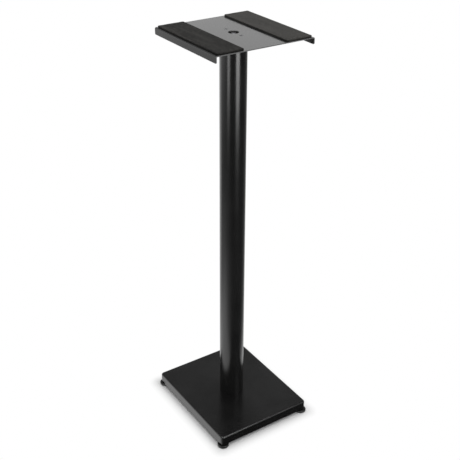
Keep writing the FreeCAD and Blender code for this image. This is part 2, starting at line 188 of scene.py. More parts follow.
# The world is white round the horizon and dims to the ceiling of the studio.
world_white, fill_strength = (1.0, 1.0, 1.0, 1.0), 0.36
dimming = ((0.38, 1.0), (0.50, 0.22), (0.66, 0.20), (0.80, 0.04))
world = bpy.data.worlds.new("studio")
world.use_nodes = True
tree = world.node_tree
tree.nodes.clear()
heading = place_node(tree, "ShaderNodeTexCoord").outputs["Generated"]
rise = place_node(tree, "ShaderNodeSeparateXYZ", {0: heading}).outputs["Z"]
backdrop, fill = [
    place_node(tree, "ShaderNodeBackground", {"Color": world_white, "Strength": strength}).outputs[0]
    for strength in (ramp_node(tree, rise, dimming), fill_strength)
]
surroundings = mix_shaders(tree, seen_background(tree), fill, backdrop)
place_node(tree, "ShaderNodeOutputWorld", {"Surface": surroundings})
scene.world = world


def softbox(name, place, target, width, height, radiance):
    """An area light that the camera doesn't see. Its power is four times its radiance times its area."""
    lamp = bpy.data.lights.new(name, "AREA")
    lamp.shape = "RECTANGLE"
    lamp.size = width
    lamp.size_y = height
    lamp.energy = radiance * 4 * width * height
    box = bpy.data.objects.new(name, lamp)
    scene.collection.objects.link(box)
    aim = (Vector(target) - Vector(place)).to_track_quat("-Z", "Y")
    box.matrix_world = Matrix.Translation(Vector(place)) @ aim.to_matrix().to_4x4()
    box.visible_camera = False


softbox(
    "overhead_light", place=(0.0, 0.25, 2.9), target=(0.0, 0.0, 0.0), width=2.2, height=2.2, radiance=2.35
)
softbox("front_light", place=(0.8, -1.7, 2.7), target=(0.0, 0.0, 0.6), width=1.2, height=1.2, radiance=3.2)

# Each strip stands some degrees round the column, from the camera's side towards the picture's right.
toward_camera = math.atan2(camera_place.y, camera_place.x)
strip_distance = 2.0
for name, degrees, width, low, high, radiance in (
    ("left_strip_light", -38, 0.74, 0.13, 0.62, 2.0),
    ("right_strip_light", 38, 1.04, 0.06, 0.62, 3.1),
):
    angle, middle = toward_camera + math.radians(degrees), (low + high) / 2
    place = (strip_distance * math.cos(angle), strip_distance * math.sin(angle), middle)
    softbox(name, place, (0.0, 0.0, middle), width, high - low, radiance)

# A dark sheet, which only reflections see, lies on the floor round the base: painted shade in the
# reflections.
# It is dark in front of the base, with a soft edge on either side. Round the rest of the base it dims the
# mirrored floor with distance, and lets it lighten again far away. The mesh has a hole in its middle for the
# base.
card_level, card_reach, painted_shade_color = 0.004, 6.0, (0.01, 0.01, 0.01, 1.0)
card_x, card_y = ((-card_reach, -half, half, card_reach) for half in (0.1285, 0.1525))
card_faces = [
    (4 * i + j, 4 * i + 4 + j, 4 * i + 5 + j, 4 * i + 1 + j)
    for i in range(3) for j in range(3) if (i, j) != (1, 1)
]


def seen_from(tree, corner, bearing):
    """The turn, in radians from a bearing, and the distance of a place on the floor as seen from a corner."""
    spot = place_node(tree, "ShaderNodeTexCoord").outputs["Object"]
    place = place_node(
        tree, "ShaderNodeMapping",
        {"Vector": spot, "Location": (*corner, card_level), "Rotation": (0.0, 0.0, bearing)},
        vector_type="TEXTURE",
    ).outputs[0]
    parts = place_node(tree, "ShaderNodeSeparateXYZ", {0: place}).outputs
    distance = place_node(tree, "ShaderNodeVectorMath", {0: place}, operation="LENGTH").outputs["Value"]
    return math_node(tree, "ARCTAN2", parts["Y"], parts["X"]), distance


def stepped(tree, value, low, high, steps):
    """A smooth curve of a value between low and high, through (value, level) steps."""
    steps = [((at - low) / (high - low), level) for at, level in steps]
    return ramp_node(tree, spread(tree, value, low, high), steps)


def by_turn(tree, turn, *steps):
    """A smooth curve of a turn, through (degrees, level) steps."""
    return stepped(tree, turn, -math.pi, math.pi, [(math.radians(at), level) for at, level in steps])


# How much of the mirrored floor shows past the painted shade, by the turn seen from each front corner, and by
# distance.
material, tree = new_material("black_card")
left_turn, away = seen_from(tree, (-base_x, -base_y), toward_camera)
right_turn, _ = seen_from(tree, (base_x, -base_y), 0.0)
past_left = by_turn(
    tree, left_turn,
    (-180, 1.0), (-95, 1.0), (-78, 0.80), (-55, 0.42), (-26, 0.20), (4, 0.08), (50, 0.03), (168, 0.03),
)
past_right = by_turn(
    tree, right_turn,
    (-180, 0.0), (-60, 0.04), (-15, 0.07), (8, 0.18), (28, 0.45), (60, 1.0), (110, 1.0), (140, 0.0),
)
far_floor = stepped(
    tree, away, 0.0, 4.5, [(0.36, 1.0), (0.80, 0.44), (1.40, 0.17), (2.20, 0.34), (3.10, 0.66), (4.40, 0.80)]
)
light_left = math_node(tree, "MAXIMUM", math_node(tree, "MULTIPLY", past_left, far_floor), past_right)
paint = place_node(tree, "ShaderNodeBsdfDiffuse", {"Color": painted_shade_color}).outputs[0]
clear = place_node(tree, "ShaderNodeBsdfTransparent").outputs[0]
place_node(tree, "ShaderNodeOutputMaterial", {"Surface": mix_shaders(tree, light_left, paint, clear)})
card_points = [(x, y, card_level) for x in card_x for y in card_y]
card = new_piece("black_card", card_points, faces=card_faces, material=material)
card.visible_camera = False
card.visible_diffuse = False
card.visible_transmission = False
card.visible_shadow = False

# ---------------------------------------------------------------- base tray
# A pan of 2 mm steel sheet, drawn or folded with welded corners that are ground smooth, open underneath.
# It is powder coated black, with a fine satin grain.

socket_kinds = {
    "Position": "NodeSocketVector", "Geometry": "NodeSocketGeometry", "Material": "NodeSocketMaterial",
    "Rings": "NodeSocketInt",
}


def new_group(name, kind, inputs, outputs):
    """A node group with named sockets, which are numbers unless socket_kinds says else, and its two ends."""
    tree = bpy.data.node_groups.new(name, kind)
    for side, sockets in (("INPUT", inputs), ("OUTPUT", outputs)):
        for socket in sockets:
            socket_kind = socket_kinds.get(socket, "NodeSocketFloat")
            tree.interface.new_socket(socket, in_out=side, socket_type=socket_kind)
    return tree, tree.nodes.new("NodeGroupInput").outputs, tree.nodes.new("NodeGroupOutput").inputs


def effect_group(name, *inputs):
    """A group that turns a position on a surface into its relief and its tone."""
    return new_group(name, "ShaderNodeTree", ("Position", *inputs), ("Height", "Tone"))


def noise(tree, place, scale, detail):
    inputs = {"Vector": place, "Scale": scale, "Detail": detail}
    return place_node(tree, "ShaderNodeTexNoise", inputs).outputs[0]


powder_grain, given, result = effect_group("powder_grain", "Grain", "Peel")
grain_share, peel_share, patch_scale = 0.65, 0.35, 14.0
grain = noise(powder_grain, given["Position"], given["Grain"], 2.0)
peel = noise(powder_grain, given["Position"], given["Peel"], 1.0)
patches = noise(powder_grain, given["Position"], patch_scale, 4.0)
fine = math_node(powder_grain, "MULTIPLY", grain, grain_share)
powder_grain.links.new(math_node(powder_grain, "MULTIPLY_ADD", peel, peel_share, fine), result["Height"])
powder_grain.links.new(spread(powder_grain, patches, 0.35, 0.65), result["Tone"])


def mixed_color(tree, share, first, second):
    inputs = {0: share, 6: first, 7: second}
    return place_node(tree, "ShaderNodeMix", inputs, data_type="RGBA").outputs[2]


def surface(name, effect, effect_inputs, dark, light, rough, depth, ior=1.5, metallic=0.0, sheen=0.0):
    """A material whose colour, roughness and relief come from an effect group over the piece."""
    material, tree = new_material(name)
    spot = place_node(tree, "ShaderNodeTexCoord").outputs["Object"]
    marks = place_node(tree, "ShaderNodeGroup", {"Position": spot, **effect_inputs}, node_tree=effect).outputs
    roughness = place_node(
        tree, "ShaderNodeMapRange", {"Value": marks["Tone"], "To Min": rough[0], "To Max": rough[1]}
    )
    bump = place_node(tree, "ShaderNodeBump", {"Height": marks["Height"], "Strength": 1.0, "Distance": depth})
    shader = place_node(
        tree, "ShaderNodeBsdfPrincipled",
        {
            "Base Color": mixed_color(tree, marks["Tone"], (*dark, 1.0), (*light, 1.0)),
            "Roughness": roughness.outputs[0], "Normal": bump.outputs[0],
            "IOR": ior, "Metallic": metallic, "Sheen Weight": sheen,
        },
    )
    place_node(tree, "ShaderNodeOutputMaterial", {"Surface": shader.outputs[0]})
    return material


def coat_node(node, material):
    """Gives a CAD node its finish."""
    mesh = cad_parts[node].data
    mesh.materials.clear()
    mesh.materials.append(material)


base_coat = surface(
    "black_powder_coat", powder_grain, {"Grain": 1600.0, "Peel": 260.0},
    dark=(0.003, 0.003, 0.003), light=(0.006, 0.006, 0.006), rough=(0.20, 0.25), depth=0.000012, ior=1.65,
)
coat_node("base_tray", base_coat)

# ---------------------------------------------------------------- spreader plate
# A square of 4 mm steel plate under the tray's top, which spreads the column's load. Short weld beads
# hold its edges to the tray, and all of it is coated with the tray.

coat_node("base_spreader_plate", base_coat)


def shape_group(name, *inputs):
    """A group that makes geometry."""
    return new_group(name, "GeometryNodeTree", inputs, ("Geometry",))


weld_bead, given, result = shape_group("weld_bead", "Geometry", "Thickness", "Ripple", "Material")
calc = partial(math_node, weld_bead)
bead_step, bead_sides, bead_noise_scale = 0.0004, 12, 160.0
least_swell, crest_swell, uneven_swell = 0.70, 0.16, 0.3
path = place_node(weld_bead, "GeometryNodeMeshToCurve", {"Mesh": given["Geometry"]}).outputs[0]
path = place_node(
    weld_bead, "GeometryNodeResampleCurve", {"Curve": path, "Length": bead_step}, mode="LENGTH"
).outputs[0]
along = place_node(weld_bead, "GeometryNodeSplineParameter").outputs["Length"]
crest = calc("SQRT", calc("FRACT", calc("DIVIDE", along, given["Ripple"])))
uneven = place_node(weld_bead, "ShaderNodeTexNoise", {"Scale": bead_noise_scale, "Detail": 1.0}).outputs[0]
fullness = calc("MULTIPLY_ADD", crest, crest_swell, calc("MULTIPLY_ADD", uneven, uneven_swell, least_swell))
path = place_node(
    weld_bead, "GeometryNodeSetCurveRadius",
    {"Curve": path, "Radius": calc("MULTIPLY", fullness, given["Thickness"])},
).outputs[0]
section = place_node(
    weld_bead, "GeometryNodeCurvePrimitiveCircle", {"Resolution": bead_sides, "Radius": 1.0}
).outputs[0]
bead_radius = place_node(weld_bead, "GeometryNodeInputRadius").outputs[0]
bead = place_node(
    weld_bead, "GeometryNodeCurveToMesh",
    {"Curve": path, "Profile Curve": section, "Scale": bead_radius, "Fill Caps": True},
).outputs[0]
bead = place_node(weld_bead, "GeometryNodeRealizeInstances", {"Geometry": bead}).outputs[0]
bead = place_node(weld_bead, "GeometryNodeSetMaterial", {"Geometry": bead, "Material": given["Material"]})
weld_bead.links.new(bead.outputs[0], result["Geometry"])


def made_by(tree, name, points, edges, body, slot, sharp_degrees=35.0, **inputs):
    """A piece that a node tree makes on the given points or lines, turned into a plain mesh."""
    piece = new_piece(name, points, edges)
    modifier = piece.modifiers.new(name, "NODES")
    modifier.node_group = tree
    for item in tree.interface.items_tree:
        key = item.name.lower().replace(" ", "_")
        if item.in_out == "INPUT" and key in inputs:
            modifier[item.identifier] = inputs[key]
    made = piece.evaluated_get(bpy.context.evaluated_depsgraph_get())
    plain_mesh = bpy.data.meshes.new_from_object(made)
    piece.modifiers.clear()
    piece.data = plain_mesh
    plain_mesh.name = name
    return finished(piece, body, sharp_degrees)


def finished(piece, body, sharp_degrees=35.0):
    """Smooth shading with sharp edges kept, and the body that it rides on."""
    piece.data.shade_smooth()
    piece.data.set_sharp_from_angle(angle=math.radians(sharp_degrees))
    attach(piece, body)
    return piece


spreader_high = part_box("base_spreader_plate")[1]
stitch_half, bead_out, bead_down = 0.012, 0.0012, 0.0008
beside, under = spreader_high.x + bead_out, spreader_high.z - bead_down
points = []
for offset in (-0.035, 0.0, 0.035):
    ends = (offset - stitch_half, offset + stitch_half)
    for side in (-1, 1):
        points += [(end, side * beside, under) for end in ends]
        points += [(side * beside, end, under) for end in ends]
made_by(
    weld_bead, "spreader_welds", points, [(i, i + 1) for i in range(0, len(points), 2)], "stand",
    "black_powder_coat", 50.0, thickness=0.0021, ripple=0.0016, material=base_coat,
)

# ---------------------------------------------------------------- column
# One length of round steel tube, 60 mm across, with a disc welded into each end. It has a smoother satin
# black coat than the base, which mirrors the strip lights as long stripes.

tube_coat = surface(
    "satin_black_tube", powder_grain, {"Grain": 2400.0, "Peel": 320.0},
    dark=(0.006, 0.006, 0.006), light=(0.008, 0.008, 0.008), rough=(0.21, 0.25), depth=0.000006, ior=1.7,
)
coat_node("column_tube", tube_coat)
for node in ("column_bottom_disc", "column_top_disc", "column_flange"):
    coat_node(node, base_coat)

# The bead that runs round under the flange, where it is welded to the tube.
around, bead_offset = 96, 0.0006
made_by(
    weld_bead, "flange_weld",
    circle(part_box("column_tube")[1].x + bead_offset, around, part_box("column_flange")[0].z - bead_offset),
    [(i, (i + 1) % around) for i in range(around)], "stand", "black_powder_coat", 50.0,
    thickness=0.0022, ripple=0.0017, material=base_coat,
)

# ---------------------------------------------------------------- nuts, bolts and washers of the column
# Zinc-plated M8 hardware: four hexagon bolts go up through washers, spreader, tray and end disc into weld
# nuts in the column, and one more weld nut in its upper end takes the centre bolt.

metal_marks, given, result = effect_group("metal_marks", "Scale")
scratch_scale = math_node(metal_marks, "MULTIPLY", given["Scale"], 6.0)
blotches = noise(metal_marks, given["Position"], given["Scale"], 5.0)
scratches = noise(metal_marks, given["Position"], scratch_scale, 2.0)
metal_marks.links.new(scratches, result["Height"])
metal_marks.links.new(spread(metal_marks, blotches, 0.3, 0.7), result["Tone"])
zinc = surface(
    "zinc_plate", metal_marks, {"Scale": 420.0}, dark=(0.46, 0.47, 0.48), light=(0.62, 0.63, 0.63),
    rough=(0.26, 0.40), depth=0.000006, metallic=1.0,
)


def half_of(tree, value):
    return math_node(tree, "MULTIPLY", value, 0.5)


def from_end(tree, z, height):
    """How deep a level lies inside the nearer end of a part whose middle is at zero."""
    return math_node(tree, "SUBTRACT", half_of(tree, height), math_node(tree, "ABSOLUTE", z))


def cylinder(tree, vertices, rings, height):
    """A closed cylinder of unit radius, ready to be reshaped."""
    inputs = {"Vertices": vertices, "Side Segments": rings, "Radius": 1.0, "Depth": height}
    return place_node(tree, "GeometryNodeMeshCylinder", inputs, fill_type="TRIANGLE_FAN").outputs["Mesh"]


def reshaped(tree, geometry, scale_at):
    """The geometry, with each point's distance from the upright axis times scale_at(its angle, its place)."""
    place = place_node(tree, "GeometryNodeInputPosition").outputs[0]
    parts = place_node(tree, "ShaderNodeSeparateXYZ", {0: place}).outputs
    scale = scale_at(math_node(tree, "ARCTAN2", parts["Y"], parts["X"]), parts)
    moved = {side: math_node(tree, "MULTIPLY", parts[side], scale) for side in "XY"}
    moved = place_node(tree, "ShaderNodeCombineXYZ", {**moved, "Z": parts["Z"]}).outputs[0]
    return place_node(tree, "GeometryNodeSetPosition", {"Geometry": geometry, "Position": moved}).outputs[0]


def nut_radius(tree, angle, z, flats, height):
    """A hexagon with a corner on +X, and with the 30 degree turned chamfer of nuts and bolt heads."""
    sixth, face_share = math.pi / 3, 0.475
    within = math_node(tree, "SUBTRACT", math_node(tree, "FLOORED_MODULO", angle, sixth), sixth / 2)
    hexagon = math_node(tree, "DIVIDE", half_of(tree, flats), math_node(tree, "COSINE", within))
    face_radius = math_node(tree, "MULTIPLY", flats, face_share)
    chamfer = math_node(tree, "MULTIPLY_ADD", from_end(tree, z, height), math.sqrt(3), face_radius)
    return math_node(tree, "MINIMUM", hexagon, chamfer)


hex_head, given, result = shape_group("hex_head", "Across Flats", "Height")
shaped = reshaped(
    hex_head, cylinder(hex_head, 72, 24, given["Height"]),
    lambda angle, place: nut_radius(hex_head, angle, place["Z"], given["Across Flats"], given["Height"]),
)
hex_head.links.new(shaped, result["Geometry"])

thread, given, result = shape_group("thread", "Diameter", "Pitch", "Length", "Rings")


def thread_radius(angle, place):
    """A groove that winds up by the pitch each turn, and a chamfer at either end."""
    calc = partial(math_node, thread)
    groove_slope, end_share = 1.2, 0.40
    turns = calc("SUBTRACT", calc("DIVIDE", place["Z"], given["Pitch"]), calc("DIVIDE", angle, 2 * math.pi))
    groove = calc("MULTIPLY", calc("MULTIPLY", calc("PINGPONG", turns, 0.5), groove_slope), given["Pitch"])
    inward = from_end(thread, place["Z"], given["Length"])
    lead_in = calc("MULTIPLY_ADD", given["Diameter"], end_share, inward)
    return calc("MINIMUM", calc("SUBTRACT", half_of(thread, given["Diameter"]), groove), lead_in)


shaped = reshaped(thread, cylinder(thread, 30, given["Rings"], given["Length"]), thread_radius)
thread.links.new(shaped, result["Geometry"])


def raised(tree, geometry, level):
    """The part moved up by level."""
    offset = place_node(tree, "ShaderNodeCombineXYZ", {"Z": level}).outputs[0]
    return place_node(tree, "GeometryNodeTransform", {"Geometry": geometry, "Translation": offset}).outputs[0]


def standing(tree, geometry, height):
    """The part, which was made round its middle, set on its lower end."""
    return raised(tree, geometry, half_of(tree, height))


def by_group(tree, group, inputs):
    """The part that another group makes."""
    return place_node(tree, "GeometryNodeGroup", inputs, node_tree=group).outputs[0]


def shank_of(tree, given, rings):
    """A thread with the diameter, pitch and length that the tree is given."""
    sizes = {socket: given[socket] for socket in ("Diameter", "Pitch", "Length")}
    return standing(tree, by_group(tree, thread, {**sizes, "Rings": rings}), given["Length"])


def set_on_points(tree, given, result, *parts):
    """Ends a tree: the parts are joined and set on every point of the object, with its material."""
    joined = place_node(tree, "GeometryNodeJoinGeometry")
    for part in parts:
        tree.links.new(part, joined.inputs[0])
    placed = place_node(
        tree, "GeometryNodeInstanceOnPoints", {"Points": given["Geometry"], "Instance": joined.outputs[0]}
    )
    placed = place_node(tree, "GeometryNodeRealizeInstances", {"Geometry": placed.outputs[0]})
    placed = place_node(
        tree, "GeometryNodeSetMaterial", {"Geometry": placed.outputs[0], "Material": given["Material"]}
    )
    tree.links.new(placed.outputs[0], result["Geometry"])


hex_bolt, given, result = shape_group(
    "hex_bolt", "Geometry", "Across Flats", "Head Height", "Diameter", "Pitch", "Length", "Material"
)
head = by_group(hex_bolt, hex_head, {"Across Flats": given["Across Flats"], "Height": given["Head Height"]})
set_on_points(
    hex_bolt, given, result, standing(hex_bolt, head, given["Head Height"]), shank_of(hex_bolt, given, 128)
)

bolt_low, bolt_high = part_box("base_bolts")
m8_diameter, m8_pitch, m8_flats, m8_head_height = 0.008, 0.00125, 0.013, 0.0053
m8_bore, m8_washer = 0.0081, 0.016
bolt_at = bolt_high.x - m8_flats / math.sqrt(3)
corners = [(-1, -1), (1, -1), (-1, 1), (1, 1)]
bolts = made_by(
    hex_bolt, "base_bolts_m8", [(sx * bolt_at, sy * bolt_at, bolt_low.z) for sx, sy in corners], [],
    "stand", "zinc_steel", across_flats=m8_flats, head_height=m8_head_height, diameter=m8_diameter,
    pitch=m8_pitch, length=bolt_high.z - bolt_low.z, material=zinc,
)
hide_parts("base_bolts")

# Nuts and washers: a rectangle is swept round a circle; its outer side is then pulled in to the hexagon and
# the chamfers, or to soft edges.
ring_part, given, result = shape_group(
    "ring_part", "Geometry", "Outer Diameter", "Bore", "Height", "Hexagon", "Material"
)
calc = partial(math_node, ring_part)
soft_edge = 0.0002
outer, inner = (half_of(ring_part, given[socket]) for socket in ("Outer Diameter", "Bore"))
wall = calc("SUBTRACT", outer, inner)
middle = half_of(ring_part, calc("ADD", outer, inner))
path = place_node(ring_part, "GeometryNodeCurvePrimitiveCircle", {"Resolution": 72, "Radius": middle})
section = place_node(
    ring_part, "GeometryNodeCurvePrimitiveQuadrilateral", {"Width": wall, "Height": given["Height"]}
)
section = place_node(ring_part, "GeometryNodeSubdivideCurve", {"Curve": section.outputs[0], "Cuts": 11})
swept = place_node(
    ring_part, "GeometryNodeCurveToMesh", {"Curve": path.outputs[0], "Profile Curve": section.outputs[0]}
).outputs[0]


def ring_scale(angle, place):
    """Leaves the bore as it is, and pulls the rest in by its share of the wall."""
    flat = place_node(ring_part, "ShaderNodeCombineXYZ", {side: place[side] for side in "XY"}).outputs[0]
    reach = place_node(ring_part, "ShaderNodeVectorMath", {0: flat}, operation="LENGTH").outputs["Value"]
    flats = calc("MULTIPLY", given["Outer Diameter"], math.sqrt(3) / 2)
    hexagon = nut_radius(ring_part, angle, place["Z"], flats, given["Height"])
    inward = from_end(ring_part, place["Z"], given["Height"])
    softened = calc("MINIMUM", outer, calc("ADD", inward, calc("SUBTRACT", outer, soft_edge)))
    edge = calc(
        "ADD", calc("MULTIPLY", hexagon, given["Hexagon"]),
        calc("MULTIPLY", softened, calc("SUBTRACT", 1.0, given["Hexagon"])),
    )
    share = calc("DIVIDE", calc("SUBTRACT", reach, inner), wall)
    return calc("DIVIDE", calc("MULTIPLY_ADD", share, calc("SUBTRACT", edge, inner), inner), reach)


shaped = reshaped(ring_part, swept, ring_scale)
set_on_points(ring_part, given, result, standing(ring_part, shaped, given["Height"]))


def ring_pieces(name, node, places, outer_diameter, bore, hexagon, material, slot):
    """Washers or nuts in place of a CAD node, which gives their level and height."""
    low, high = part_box(node)
    piece = made_by(
        ring_part, name, [(x, y, low.z) for x, y in places], [], "stand", slot,
        outer_diameter=outer_diameter, bore=bore, height=high.z - low.z, hexagon=hexagon, material=material,
    )
    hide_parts(node)


bolt_places = [(sx * bolt_at, sy * bolt_at) for sx, sy in corners]
m8_corners = m8_flats / math.sqrt(3) * 2
ring_pieces("base_washers_m8", "base_bolt_washers", bolt_places, m8_washer, m8_bore, 0.0, zinc, "zinc_steel")
ring_pieces("column_nuts_m8", "column_weld_nuts", bolt_places, m8_corners, m8_bore, 1.0, zinc, "zinc_steel")
ring_pieces("top_nut_m8", "column_top_nut", [(0.0, 0.0)], m8_corners, m8_bore, 1.0, zinc, "zinc_steel")

# ---------------------------------------------------------------- top plate
# Steel sheet with a flange folded down along each side and a dish pressed into its middle, in the same
# black coat, which shows charcoal where it mirrors the pale backdrop.

plate_coat = surface(
    "charcoal_powder_coat", powder_grain, {"Grain": 1500.0, "Peel": 300.0},
    dark=(0.016, 0.016, 0.016), light=(0.022, 0.022, 0.022), rough=(0.16, 0.20), depth=0.000008, ior=1.55,
)
coat_node("top_plate", plate_coat)

# The sheet's sheared ends, at the front and the back, are a lighter gray: partly the powder lying thin there,
# partly a painted highlight for the light that the rounded edge catches.
thin_coat_and_highlight_gray, sheared_reach = (0.15, 0.15, 0.15, 1.0), 0.0002
plate_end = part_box("top_plate")[1].y - sheared_reach
tree = plate_coat.node_tree
shader = next(node for node in tree.nodes if node.type == "BSDF_PRINCIPLED")
whole_coat = shader.inputs["Base Color"].links[0].from_socket
spot = place_node(tree, "ShaderNodeTexCoord").outputs["Object"]
from_middle = math_node(tree, "ABSOLUTE", place_node(tree, "ShaderNodeSeparateXYZ", {0: spot}).outputs["Y"])
on_end = math_node(tree, "GREATER_THAN", from_middle, plate_end)
tree.links.new(mixed_color(tree, on_end, whole_coat, thin_coat_and_highlight_gray), shader.inputs["Base Color"])

# ---------------------------------------------------------------- screws of the top plate
# Two M5 countersunk screws with a cross recess, one in front of the dish and one behind it. They hold the
# plate to the column's flange, and are black oxide.

oxide = surface(
    "black_oxide", metal_marks, {"Scale": 600.0}, dark=(0.085, 0.085, 0.090), light=(0.130, 0.130, 0.140),
    rough=(0.28, 0.42), depth=0.000004, metallic=1.0,
)

countersunk_screw, given, result = shape_group(
    "countersunk_screw", "Geometry", "Diameter", "Pitch", "Head Diameter", "Length", "Recess Width",
    "Recess Slot", "Recess Depth", "Material",
)
calc = partial(math_node, countersunk_screw)
head_height = half_of(countersunk_screw, calc("SUBTRACT", given["Head Diameter"], given["Diameter"]))
head = place_node(
    countersunk_screw, "GeometryNodeMeshCone",
    {
        "Vertices": 64, "Radius Top": half_of(countersunk_screw, given["Head Diameter"]),
        "Radius Bottom": half_of(countersunk_screw, given["Diameter"]), "Depth": head_height,
    },
).outputs["Mesh"]
recess_depth = calc("MULTIPLY", given["Recess Depth"], 2.0)
cut_head = place_node(
    countersunk_screw, "GeometryNodeMeshBoolean",
    {0: raised(countersunk_screw, head, calc("MULTIPLY", head_height, -1.0))},
    operation="DIFFERENCE", solver="EXACT",
)
for along, across in (("Recess Width", "Recess Slot"), ("Recess Slot", "Recess Width")):
    size = {0: given[along], 1: given[across], 2: recess_depth}
    size = place_node(countersunk_screw, "ShaderNodeCombineXYZ", size).outputs[0]
    slot_cut = place_node(countersunk_screw, "GeometryNodeMeshCube", {"Size": size})
    countersunk_screw.links.new(slot_cut.outputs["Mesh"], cut_head.inputs[1])
shank_length = calc("SUBTRACT", given["Length"], calc("MULTIPLY", head_height, 0.8))
shank = by_group(
    countersunk_screw, thread,
    {"Diameter": given["Diameter"], "Pitch": given["Pitch"], "Length": shank_length, "Rings": 72},
)
shank_middle = calc("SUBTRACT", half_of(countersunk_screw, shank_length), given["Length"])
set_on_points(
    countersunk_screw, given, result, cut_head.outputs["Mesh"], raised(countersunk_screw, shank, shank_middle)
)

screw_low, screw_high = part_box("top_plate_screws")
screw_head = 0.009
screw_y = screw_high.y - screw_head / 2
screws = made_by(
    countersunk_screw, "top_plate_screws_m5", [(0.0, y, screw_high.z) for y in (-screw_y, screw_y)], [],
    "stand", "black_oxide_steel", head_diameter=screw_head, diameter=0.005, pitch=0.0008,
    length=screw_high.z - screw_low.z, recess_width=0.0046, recess_slot=0.0009, recess_depth=0.0016,
    material=oxide,
)
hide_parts("top_plate_screws")

# ---------------------------------------------------------------- centre bolt
# An M8 button-head bolt with a hexagon socket, on a plain washer down in the dish, black oxide. It draws the
# plate down on to the column's upper end.


def skinned(name, rings, material, closed=False):
    """A skin over rings of points, closed from the last ring to the first or else capped at its two ends."""
    count, last = len(rings[0]), len(rings) - 1
    faces = []
    for k in range(last + closed):
        here, after = k * count, (k + 1) % len(rings) * count
        for i in range(count):
            j = (i + 1) % count
            faces.append((here + i, here + j, after + j, after + i))
    if not closed:
        faces.append(tuple(range(count - 1, -1, -1)))
        faces.append(tuple(range(last * count, (last + 1) * count)))
    return new_piece(name, [point for ring in rings for point in ring], faces=faces, material=material)


def bolt_ring(radius, flats, share, level, segments=72):
    """A ring of points, which lies between a circle and a hexagon by the share of the hexagon."""
    ring = []
    for i in range(segments):
        angle = 2 * math.pi * i / segments
        hexagon = flats / 2 / math.cos((angle % (math.pi / 3)) - math.pi / 6)
        reach = radius * (1 - share) + hexagon * share
        ring.append((reach * math.cos(angle), reach * math.sin(angle), level))
    return ring


bolt_low, bolt_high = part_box("centre_bolt")
head_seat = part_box("centre_bolt_washer")[1].z
button_radius, socket_flats, socket_depth = 0.007, 0.005, 0.0026
head_rise = bolt_high.z - head_seat
crown = (button_radius ** 2 + head_rise ** 2) / (2 * head_rise)
socket_floor = bolt_high.z - socket_depth


def dome(radius):
    """The level of the button head's rounded top."""
    return bolt_high.z - crown + math.sqrt(crown ** 2 - radius ** 2)


# From the shank's end up to the head's seat and rim, over the dome, and down into the socket.
rings = [
    (0.0030, 0, 0, bolt_low.z), (0.0040, 0, 0, bolt_low.z + 0.0010), (0.0040, 0, 0, head_seat - 0.0002),
    (0.0044, 0, 0, head_seat), (0.0066, 0, 0, head_seat), (0.0069, 0, 0, head_seat + 0.0002),
]
rings += [(r, 0, 0, dome(r)) for r in (0.00695, 0.0068, 0.0064, 0.0058, 0.0051, 0.0044, 0.0038, 0.0034)]
rings += [
    (0.0034, socket_flats + 0.0004, 0.8, dome(0.0032) - 0.0001), (0, socket_flats, 1, dome(0.0029) - 0.0004),
    (0, socket_flats, 1, socket_floor), (0.0020, 0, 0, socket_floor - 0.0001),
    (0.0003, 0, 0, socket_floor - 0.0006),
]
centre_bolt = skinned("centre_bolt_m8", [bolt_ring(*ring) for ring in rings], oxide)
finished(centre_bolt, "stand")
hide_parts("centre_bolt")
ring_pieces(
    "centre_washer_m8", "centre_bolt_washer", [(0.0, 0.0)], m8_washer, m8_bore, 0.0, oxide,
    "black_oxide_steel",
)

# ---------------------------------------------------------------- foam pads
# Two strips of 4 mm closed-cell foam with a sticky back, cut by a die, so that the edges bulge a little.
# Each is blown up slightly by a cloth simulation with its glued underside held still.

foam_cells, given, result = effect_group("foam_cells", "Cells")
skin_scale, skin_relief, streak_scale = 220.0, 1.5, (90.0, 12.0, 60.0)
cells = place_node(foam_cells, "ShaderNodeTexVoronoi", {"Vector": given["Position"], "Scale": given["Cells"]})
skin = noise(foam_cells, given["Position"], skin_scale, 4.0)
drawn_out = place_node(foam_cells, "ShaderNodeMapping", {"Vector": given["Position"], "Scale": streak_scale})
streaks = noise(foam_cells, drawn_out.outputs[0], 1.0, 3.0)
relief = math_node(foam_cells, "MULTIPLY_ADD", skin, skin_relief, cells.outputs["Distance"])
mottled = math_node(foam_cells, "MULTIPLY_ADD", skin, 0.5, half_of(foam_cells, streaks))
foam_cells.links.new(relief, result["Height"])
foam_cells.links.new(spread(foam_cells, mottled, 0.38, 0.62), result["Tone"])


